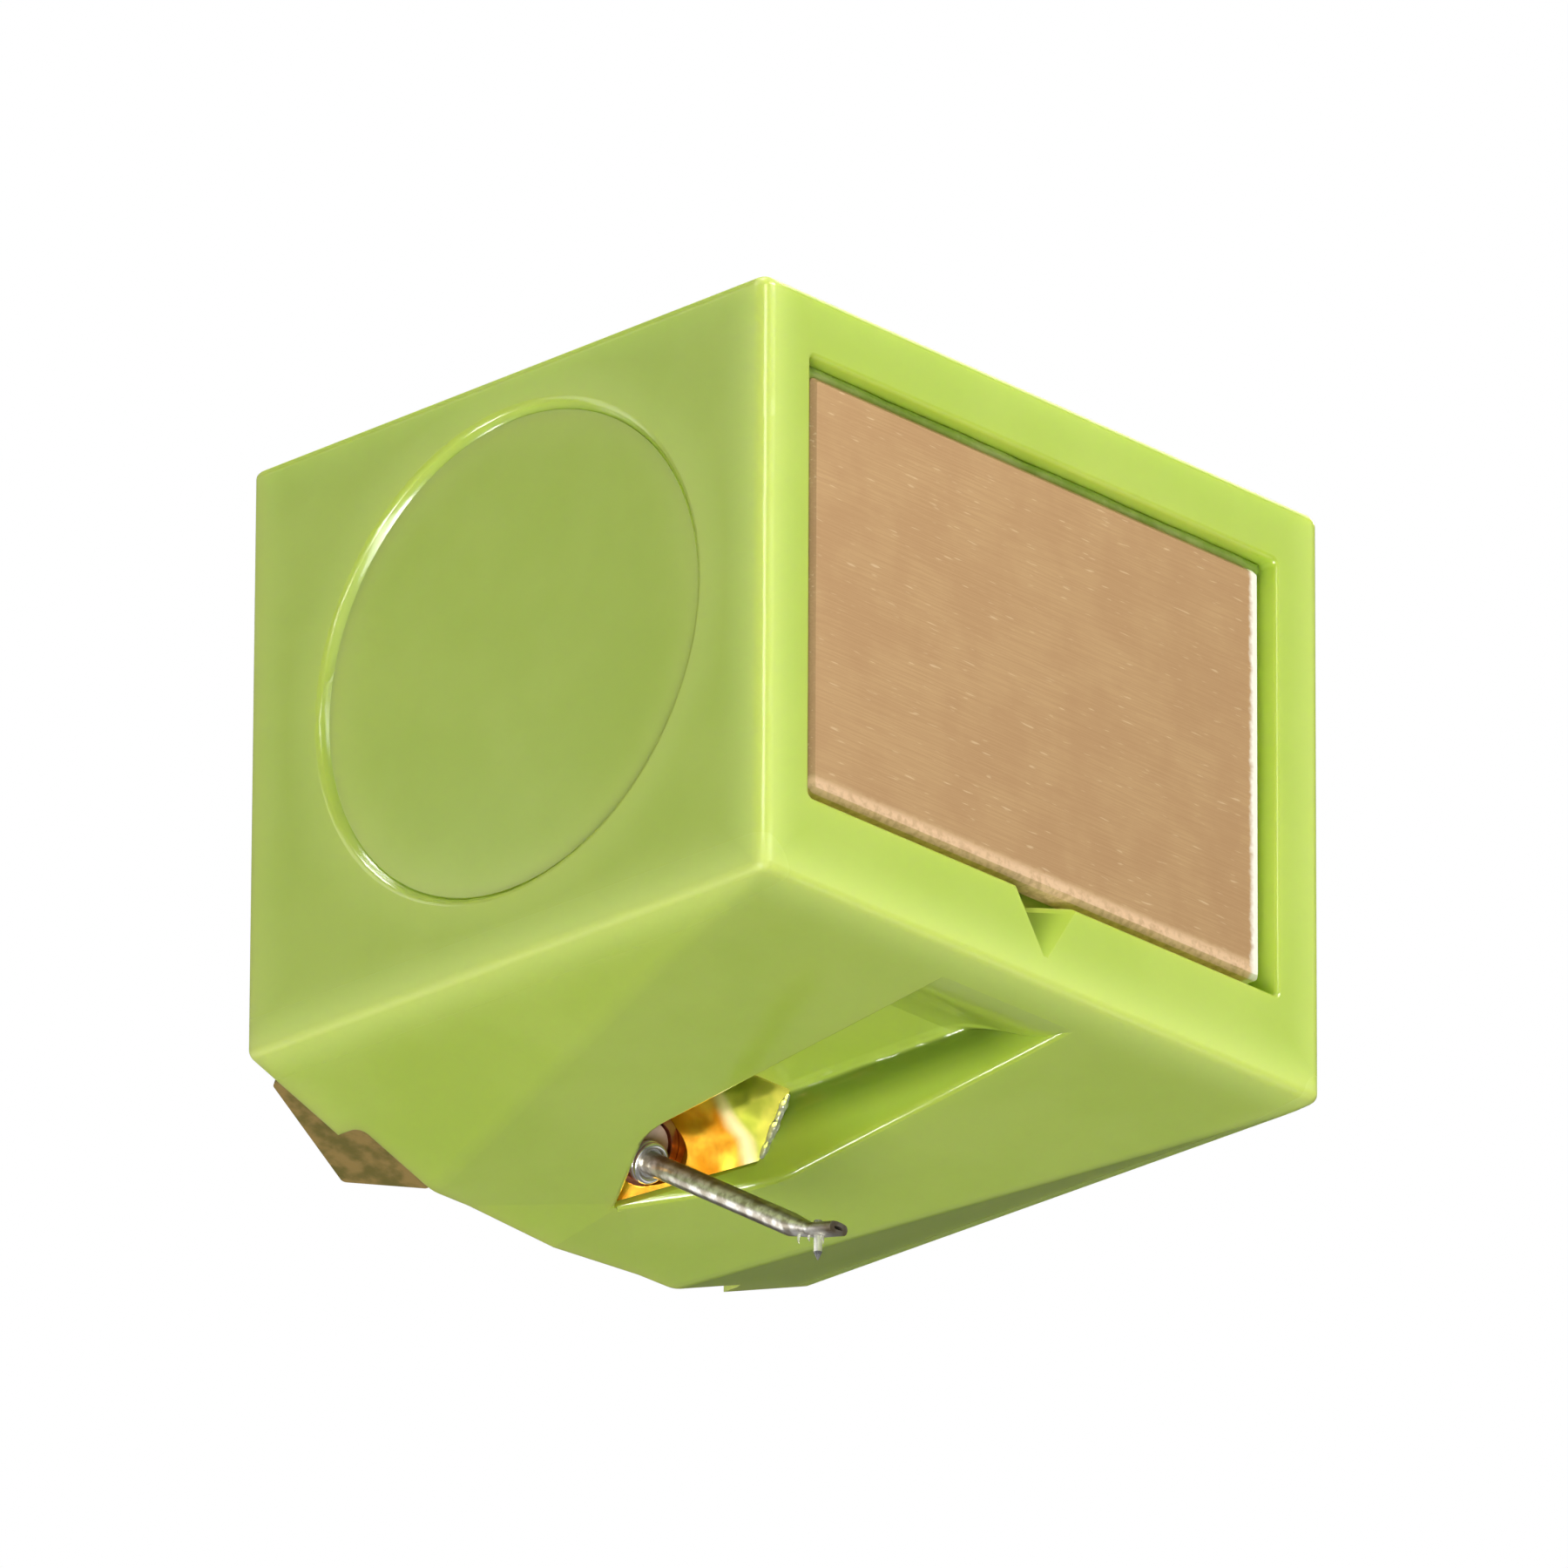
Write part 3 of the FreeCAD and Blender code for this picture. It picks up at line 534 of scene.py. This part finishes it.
def relief(tree, shader, height, scale_mm):
    """Feeds a height, in units of the scale, to the shader's normal."""
    bump = node(tree, "ShaderNodeBump", {"Height": height, "Strength": 1.0, "Distance": scale_mm * MM})
    tree.links.new(bump.outputs[0], shader.inputs["Normal"])


def lime_plastic():
    """Translucent moulded plastic, with a painted glow along its outer edges and painted shade in its
    hollows.
    """
    material, tree, shader = new_tree("lime_plastic")
    place = millimetres(tree)
    edges = use_group(tree, edge_glow, {"Place": place, "Width": EDGE_GLOW_MM, "Rim": RIM_GLOW})
    hollow = use_group(tree, pocket_shade, {"Place": place, "Fall": WALL_FALL_MM})
    cloud = use_group(tree, mottle, {"Place": place, "Cloud": 0.25, "Grain": 6.0})
    lumps = use_group(tree, mottle, {"Place": place, "Grain": 1.6, "Detail": 0.5})["Height"]

    body = mix_colour(tree, cloud["Tone"], LIME_DARK, LIME_LIGHT)
    # Painted glow along the outer edges and the dimple rims
    painted_glow = mix_colour(tree, edges["Mask"], body, LIME_PAINTED_GLOW)
    # Painted shade on the pocket's side walls and in the cue notch
    wall_shaded = mix_colour(tree, times(tree, hollow["Wall"], WALL_SHADE), painted_glow, LIME_WALL_SHADE)
    colour = mix_colour(tree, times(tree, hollow["Notch"], NOTCH_SHADE), wall_shaded, LIME_NOTCH_SHADE)

    z = split(tree, place)[2]
    matt = larger(tree, edges["Low"], ramp(tree, minus(tree, TOP, z), *MATT_TOP_MM))
    roughness = plus(tree, times(tree, matt, MATT_ROUGHNESS), GLOSS_ROUGHNESS)

    feed(tree, shader, {"Base Color": colour, "Roughness": roughness, "IOR": 1.49, "Subsurface Weight": 0.5,
                        "Subsurface Radius": (1.0, 1.0, 0.35), "Subsurface Scale": 0.8 * MM})
    lumpy = plus(tree, times(tree, hollow["Crease"], CREASE_LUMP_MM),
                 times(tree, edges["Upright"], EDGE_LUMP_MM))
    grain = times(tree, cloud["Height"], LIME_GRAIN_MM)
    relief(tree, shader, plus(tree, times(tree, lumps, lumpy), grain), scale_mm=1.0)
    return material


def brushed_plate():
    """Copper-gold plate: fine brushed lines, short scratches, a worn left edge, a painted highlight at the
    right and a paler foot.
    """
    material, tree, shader = new_tree("brushed_plate")
    place = millimetres(tree)
    lines = use_group(tree, streaks, {"Place": place, "Fine": 24.0, "Stretch": 0.03})
    cloud = use_group(tree, mottle, {"Place": place, "Cloud": 0.9, "Grain": 7.0})

    x, _, z = split(tree, place)
    frayed = times(tree, minus(tree, cloud["Height"], NOISE_MIDDLE), FRAY_MM)
    left = ramp(tree, minus(tree, x, PLATE_LEFT), *WORN_LEFT_MM)
    # Painted highlight along the right edge, frayed by the cloud
    right = ramp(tree, plus(tree, minus(tree, PLATE_RIGHT, x), frayed), *RIGHT_HIGHLIGHT_MM)
    patchy = ramp(tree, cloud["Height"], low=0.3, high=0.6, out_low=0.5, out_high=1.0)
    # Paler and duller towards the foot, in patches
    below = ramp(tree, plus(tree, minus(tree, z, PLATE_FOOT), frayed), *PALE_FOOT_MM)
    below = times(tree, below, patchy)

    colour = mix_colour(tree, lines["Tone"], PLATE_DARK, PLATE_LIGHT)
    colour = mix_colour(tree, times(tree, cloud["Tone"], CLOUD_SHARE), colour, PLATE_CLOUD)
    colour = mix_colour(tree, times(tree, lines["Scratch"], SCRATCH_SHARE), colour, PLATE_SCRATCH)
    colour = mix_colour(tree, below, colour, PLATE_PALE_FOOT)
    colour = mix_colour(tree, right, colour, PLATE_PAINTED_HIGHLIGHT)

    wear_and_highlight = larger(tree, left, larger(tree, right, below))
    metallic = ramp(tree, wear_and_highlight, low=0.0, high=1.0, out_low=0.6, out_high=0.1)
    roughness = ramp(tree, wear_and_highlight, low=0.0, high=1.0, out_low=0.38, out_high=0.7)
    feed(tree, shader, {"Base Color": colour, "Metallic": metallic, "Roughness": roughness})
    relief(tree, shader, lines["Height"], scale_mm=0.002)
    return material


def toned(name, dark, light, roughness, metallic=0.0, cloud=1.5, grain=12.0, relief_mm=0.002):
    """Finish with a cloudy tone between two colours and a fine grain; returns it with its shader."""
    material, tree, shader = new_tree(name)
    tone = use_group(tree, mottle, {"Place": millimetres(tree), "Cloud": cloud, "Grain": grain})
    colour = mix_colour(tree, tone["Tone"], dark, light)
    feed(tree, shader, {"Base Color": colour, "Metallic": metallic, "Roughness": roughness})
    relief(tree, shader, tone["Height"], relief_mm)
    return material, shader


def metal(name, dark, light, roughness, metallic=1.0, **settings):
    """Metal with a cloudy tone."""
    return toned(name, dark, light, roughness, metallic, **settings)[0]


def solid(name, dark, light, roughness):
    """Plastic, rubber or adhesive with a cloudy tone."""
    return toned(name, dark, light, roughness)[0]


def clear(name, tint, roughness, share):
    """Glassy glue or stone that lets a share of the light through."""
    material, shader = toned(name, tint, tint, roughness, grain=6.0)
    shader.inputs["Transmission Weight"].default_value = share
    shader.inputs["IOR"].default_value = 1.47
    return material


def polished_gold():
    """Gold plating, mirror-like and softly dented; a painted highlight runs in a slanting line, with a
    painted green reflection on the wings beyond.
    """
    material, tree, shader = new_tree("gold_plating")
    place = millimetres(tree)
    tone = use_group(tree, mottle, {"Place": place, "Cloud": 1.4, "Grain": 1.2, "Detail": 0.6})

    outwards = absolute(tree, split(tree, place)[0])
    slant = plus(tree, outwards, times(tree, from_root(tree, place, UPWARD), GOLD_SLANT))
    uneven = times(tree, minus(tree, tone["Height"], NOISE_MIDDLE), GOLD_UNEVEN_MM)
    beyond = plus(tree, minus(tree, slant, GOLD_HIGHLIGHT_MM), uneven)
    in_front = ramp(tree, from_root(tree, place, FORWARD), *GOLD_FRONT_MM)
    # Painted green reflection on the wings, and a painted highlight along the slanting line
    wing_reflection = times(tree, ramp(tree, beyond, *GOLD_WING_MM), in_front)
    highlight_line = times(tree, ramp(tree, absolute(tree, beyond), *GOLD_HIGHLIGHT_WIDTH_MM), in_front)

    gold = mix_colour(tree, tone["Tone"], GOLD_DARK, GOLD_LIGHT)
    green_reflection = mix_colour(tree, tone["Tone"], WING_REFLECTION_DARK, WING_REFLECTION_LIGHT)
    colour = mix_colour(tree, highlight_line, mix_colour(tree, wing_reflection, gold, green_reflection), GOLD_PAINTED_HIGHLIGHT)
    feed(tree, shader, {"Base Color": colour, "Metallic": 1.0, "Roughness": 0.13})
    relief(tree, shader, tone["Height"], GOLD_DENT_MM)
    return material


def rolled_alloy():
    """Thin rolled aluminium: speckled bright along its sides, with a painted brown reflection above and along
    its underside.
    """
    material, tree, shader = new_tree("cantilever_alloy")
    place = millimetres(tree)
    speckle = use_group(tree, mottle, {"Place": place, "Cloud": 4.0, "Grain": 9.0})
    above = from_root(tree, place, UPWARD)
    # Painted reflection of the holder, above the axis and along the underside
    reflection = larger(tree, ramp(tree, above, *REFLECTION_ABOVE_MM), ramp(tree, above, *REFLECTION_BELOW_MM))
    colour = mix_colour(tree, speckle["Tone"], ALLOY_DARK, ALLOY_LIGHT)
    colour = mix_colour(tree, times(tree, reflection, REFLECTION_SHARE), colour, ALLOY_REFLECTION)
    feed(tree, shader, {"Base Color": colour, "Metallic": 0.6, "Roughness": 0.3})
    relief(tree, shader, speckle["Height"], scale_mm=0.004)
    return material


def dress(node_name, material):
    """Gives a CAD node its finish."""
    mesh = nodes_of_part[node_name].data
    mesh.materials.clear()
    mesh.materials.append(material)


lime = lime_plastic()
copper = metal("copper_tube", dark=srgb(190, 116, 84), light=srgb(222, 160, 126), roughness=0.25)
bright_iron = metal("soft_iron", dark=srgb(206, 204, 199), light=srgb(240, 239, 236), roughness=0.22,
                    metallic=0.8, relief_mm=0.001)
bronze = metal("dull_bronze", dark=srgb(134, 122, 56), light=srgb(182, 152, 86), roughness=0.42,
               metallic=0.4, cloud=2.2, grain=5.0, relief_mm=0.015)
steel = metal("wire_steel", dark=srgb(160, 160, 160), light=srgb(190, 190, 190), roughness=0.3)
magnet_grey = metal("ground_magnet", dark=srgb(70, 70, 74), light=srgb(100, 100, 104), roughness=0.4)
rubber = solid("damper_rubber", dark=srgb(170, 146, 130), light=srgb(206, 184, 166), roughness=0.55)
film = solid("adhesive_film", dark=srgb(214, 148, 66), light=srgb(228, 168, 88), roughness=0.5)
squeezed = solid("squeezed_adhesive", dark=srgb(168, 200, 86), light=srgb(196, 218, 124), roughness=0.3)
glue = clear("dried_glue", tint=srgb(246, 247, 232), roughness=0.08, share=0.65)
pale_shank = clear("pale_shank", tint=srgb(248, 246, 238), roughness=0.08, share=0.7)
diamond = clear("diamond_point", tint=srgb(250, 250, 246), roughness=0.03, share=0.85)

finishes = {
    "housing": lime,
    "front_plate": brushed_plate(),
    "plate_adhesive": film,
    "stylus_sleeve": polished_gold(),
    "suspension_tube": copper,
    "damper": rubber,
    "armature": bright_iron,
    "cantilever": rolled_alloy(),
    "stylus_shank": pale_shank,
    "diamond_tip": diamond,
    "tie_wire": steel,
    "wire_anchor": copper,
    "magnet": magnet_grey,
    "retaining_leaf": bronze,
}
for piece_name, finish in finishes.items():
    dress(piece_name, finish)


def along(x, s, b):
    """Points x across, s ahead of the stylus root and b above its axis, in mm; each may be an array."""
    x, s, b = np.broadcast_arrays(np.asarray(x, float), np.asarray(s, float), np.asarray(b, float))
    return ROOT + x[..., None] * ACROSS + s[..., None] * FORWARD + b[..., None] * UPWARD


def round_angles(count):
    """Evenly spaced angles of a full turn."""
    return np.linspace(0, FULL_TURN, count, endpoint=False)


def waves(t, rows):
    """Sum of sine waves along a strand: each row's size times sin(rate * t + start)."""
    return sum(size * np.sin(rate * t + start) for size, rate, start in rows)


def grid_piece(name, points, material, body, wrap_rows=False):
    """Mesh over a grid of points in mm, closed round its columns and, if asked, round its rows.

    Points that meet at a pole are merged, open ends are capped, and the faces are turned outwards."""
    rows, columns = points.shape[:2]
    index = np.arange(rows * columns).reshape(rows, columns)
    beside = np.roll(index, -1, axis=1)
    below = np.roll(index, -1, axis=0)
    below_beside = np.roll(beside, -1, axis=0)
    last = rows if wrap_rows else rows - 1
    quads = np.stack([index, beside, below_beside, below], axis=-1)[:last].reshape(-1, 4)
    mesh = bpy.data.meshes.new(name)
    mesh.from_pydata((points.reshape(-1, 3) * MM).tolist(), [], quads.tolist())
    mesh.polygons.foreach_set("use_smooth", np.ones(len(quads), bool))
    mesh.materials.append(material)
    shell = bmesh.new()
    shell.from_mesh(mesh)
    bmesh.ops.remove_doubles(shell, verts=shell.verts, dist=MERGE_MM * MM)
    bmesh.ops.holes_fill(shell, edges=shell.edges, sides=0)
    bmesh.ops.recalc_face_normals(shell, faces=shell.faces)
    shell.to_mesh(mesh)
    shell.free()
    made = bpy.data.objects.new(name, mesh)
    bpy.context.scene.collection.objects.link(made)
    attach(made, body)
    return made


def strand(path, radius, sides=STRAND_SIDES):
    """Round skin of a changing radius along a path: a circle across the path at each of its points."""
    ahead = np.gradient(path, axis=0)
    ahead = ahead / np.linalg.norm(ahead, axis=1, keepdims=True)
    first = np.cross(ahead, ACROSS + STRAND_TILT * UPWARD)
    first = first / np.linalg.norm(first, axis=1, keepdims=True)
    second = np.cross(ahead, first)
    turn = round_angles(sides)[None, :, None]
    ring = np.cos(turn) * first[:, None, :] + np.sin(turn) * second[:, None, :]
    return path[:, None, :] + radius[:, None, None] * ring


def add_collar_ring():
    """Rolled rim of the armature's collar: a torus, a small circle carried round the stylus axis."""
    turn = round_angles(COLLAR_STEPS)[:, None]
    tube = round_angles(COLLAR_SIDES)[None, :]
    reach = COLLAR_REACH_MM + COLLAR_ROLL_MM * np.cos(tube)
    ahead = COLLAR_FRONT_MM + COLLAR_ROLL_MM * np.sin(tube)
    points = along(reach * np.cos(turn), ahead, reach * np.sin(turn))
    grid_piece("collar_ring", points, bright_iron, "stylus", wrap_rows=True)


def add_dimple_dish(name, side):
    """Shallow dish on a dimple's floor: a paraboloid of revolution about the cross axis, with a flat back.

    At the distance r from the axis its face lies sink - rise * (r / radius)^2 under the side face."""
    reach = DISH_RADIUS_MM * np.sin(np.linspace(0, math.pi / 2, DISH_STEPS))
    out_and_back = np.concatenate([reach, reach[::-1]])[:, None]
    sink = DISH_SINK_MM - DISH_RISE_MM * (reach / DISH_RADIUS_MM) ** 2
    depth = np.concatenate([sink, np.full_like(reach, DISH_BACK_MM)])[:, None]
    turn = round_angles(DISH_SIDES)[None, :]
    points = np.stack([side * (HALF_WIDTH - depth) + 0 * turn,
                       FRONT / 2 + out_and_back * np.cos(turn),
                       DIMPLE_RISE_MM + out_and_back * np.sin(turn)], axis=-1)
    dish = grid_piece(name, points, lime, "holder")
    dish.data.set_sharp_from_angle(angle=DISH_EDGE_ANGLE)


def add_glue_bead():
    """Bead of glue along the sleeve's right front edge: a wavy skin that tapers to both ends.

    Its radius follows the fourth root of 4 * t * (1 - t), where t runs from 0 to 1 along it."""
    t = np.linspace(0, 1, BEAD_STEPS)
    lumps = waves(t, BEAD_WAVES)
    path = along(SLEEVE_HALF_MM - BEAD_SETBACK_MM - lumps, SLEEVE_FRONT_MM + BEAD_SETBACK_MM + lumps,
                 BEAD_FOOT_MM + BEAD_LENGTH_MM * t)
    taper = np.clip(4.0 * t * (1.0 - t), BEAD_END_SHARE, 1.0) ** 0.25
    grid_piece("glue_bead", strand(path, (BEAD_RADIUS_MM + lumps) * taper), glue, "holder")


def add_adhesive_line():
    """Adhesive squeezed out over the plate: a straight thin skin along the gap above it, uneven in radius."""
    half_gap = PLATE_GAP_MM / 2
    t = np.linspace(0, 1, LINE_STEPS)
    across = PLATE_LEFT - half_gap + (PLATE_RIGHT - PLATE_LEFT + 2 * half_gap) * t
    depth = np.full_like(t, PLATE_FACE + PLATE_GAP_MM)
    height = np.full_like(t, PLATE_HEAD + half_gap)
    path = np.stack([across, depth, height], axis=1)
    radius = half_gap + LINE_SQUEEZE_MM + waves(t, LINE_WAVES)
    grid_piece("adhesive_line", strand(path, radius), squeezed, "holder")


def add_glue_wisps():
    """Thin strands of glue under the flat end: each path falls straight and sways by a growing sine wave,
    and its radius shrinks with 1 - t^2, where t runs from 0 to 1 along it."""
    bend = along(0.0, CANTILEVER_REACH_MM, 0.0)
    ahead = np.array([0.0, -math.cos(TIP_FALL), -math.sin(TIP_FALL)])
    upright = np.array([0.0, 0.0, 1.0])
    t = np.linspace(0, 1, WISP_STEPS)[:, None]
    for number, (run, x, length, width) in enumerate(WISPS):
        top = bend + ahead * run + ACROSS * x - upright * WISP_DROP_MM
        sway = np.array(WISP_SWAY_MM) * np.sin(WISP_SWAY_RATE * t + number)
        path = top + sway * t - upright * length * t
        radius = width * (1.0 - t[:, 0] ** 2) + WISP_TIP_MM
        grid_piece("glue_wisp_%d" % number, strand(path, radius, WISP_SIDES), glue, "stylus")


add_collar_ring()
add_dimple_dish("dimple_dish_left", -1)
add_dimple_dish("dimple_dish_right", 1)
add_glue_bead()
add_adhesive_line()
add_glue_wisps()


def make_camera():
    """Camera at the photograph's angle, distance and framing."""
    data = bpy.data.cameras.new("camera")
    data.sensor_width = SENSOR_MM
    data.lens = PIXELS_PER_MM * VIEW_DISTANCE_MM / FRAME_PIXELS * SENSOR_MM
    data.shift_x = (FRAME_PIXELS / 2 - CENTRE_PIXEL[0]) / FRAME_PIXELS
    data.shift_y = (CENTRE_PIXEL[1] - FRAME_PIXELS / 2) / FRAME_PIXELS
    data.clip_start = NEAR_CLIP_M
    data.clip_end = FAR_CLIP_M
    camera = bpy.data.objects.new("camera", data)
    bpy.context.scene.collection.objects.link(camera)
    camera.matrix_world = facing_part(VIEW_AZIMUTH, VIEW_ELEVATION, VIEW_ROLL, VIEW_DISTANCE_MM)
    bpy.context.scene.camera = camera


def make_floor():
    """Pale floor far under the part, white to the camera; it can be looked through from below."""
    z = cad_box[0][2] - FLOOR_DROP_MM * MM
    corners = [(x * FLOOR_HALF_M, y * FLOOR_HALF_M, z) for x, y in ((-1, -1), (1, -1), (1, 1), (-1, 1))]
    mesh = bpy.data.meshes.new("floor")
    mesh.from_pydata(corners, [], [(0, 1, 2, 3)])
    floor = bpy.data.objects.new("floor", mesh)
    bpy.context.scene.collection.objects.link(floor)
    material, tree, shader = new_tree("floor_paper")
    feed(tree, shader, {"Base Color": FLOOR_GREY, "Roughness": FLOOR_ROUGHNESS})
    white = node(tree, "ShaderNodeEmission", {"Color": WHITE, "Strength": 1.0})
    seen = tree.nodes.new("ShaderNodeLightPath").outputs["Is Camera Ray"]
    paper = node(tree, "ShaderNodeMixShader", {0: seen, 1: shader.outputs[0], 2: white.outputs[0]})
    through = tree.nodes.new("ShaderNodeBsdfTransparent")
    behind = tree.nodes.new("ShaderNodeNewGeometry").outputs["Backfacing"]
    mixed = node(tree, "ShaderNodeMixShader", {0: behind, 1: paper.outputs[0], 2: through.outputs[0]})
    output = next(n for n in tree.nodes if n.type == "OUTPUT_MATERIAL")
    tree.links.new(mixed.outputs[0], output.inputs["Surface"])
    mesh.materials.append(material)


def make_world():
    """Even dim light all round, seen as white by the camera and through clear pieces."""
    world = bpy.data.worlds.new("studio")
    bpy.context.scene.world = world
    world.use_nodes = True
    tree = world.node_tree
    tree.nodes.clear()
    path = tree.nodes.new("ShaderNodeLightPath").outputs
    dimmed = times(tree, path["Is Glossy Ray"], WORLD_LIGHT - WORLD_GLOSS)
    strength = minus(tree, WORLD_LIGHT, dimmed)
    light = node(tree, "ShaderNodeBackground", {"Color": WHITE, "Strength": strength})
    white = node(tree, "ShaderNodeBackground", {"Color": WHITE, "Strength": 1.0})
    shown = larger(tree, path["Is Camera Ray"], path["Is Transmission Ray"])
    mixed = node(tree, "ShaderNodeMixShader", {0: shown, 1: light.outputs[0], 2: white.outputs[0]})
    output = tree.nodes.new("ShaderNodeOutputWorld")
    tree.links.new(mixed.outputs[0], output.inputs["Surface"])


def add_lamp(name, azimuth, elevation, width_mm, height_mm, light, glint_only):
    """Area lamp that faces the part; light is the brightness it gives a white surface square to it."""
    data = bpy.data.lights.new(name, "AREA")
    data.shape = "RECTANGLE"
    data.size = width_mm * MM
    data.size_y = height_mm * MM
    data.energy = light * (math.pi * LAMP_DISTANCE_MM * MM) ** 2
    lamp = bpy.data.objects.new(name, data)
    lamp.visible_camera = False
    lamp.visible_diffuse = not glint_only
    bpy.context.scene.collection.objects.link(lamp)
    lamp.matrix_world = facing_part(azimuth, elevation, 0.0, LAMP_DISTANCE_MM)


make_camera()
make_floor()
make_world()
for row in SOFTBOXES:
    add_lamp(*row, glint_only=False)
for row in GLINT_PANELS:
    add_lamp(*row, glint_only=True)

bpy.context.scene.view_settings.view_transform = "Standard"
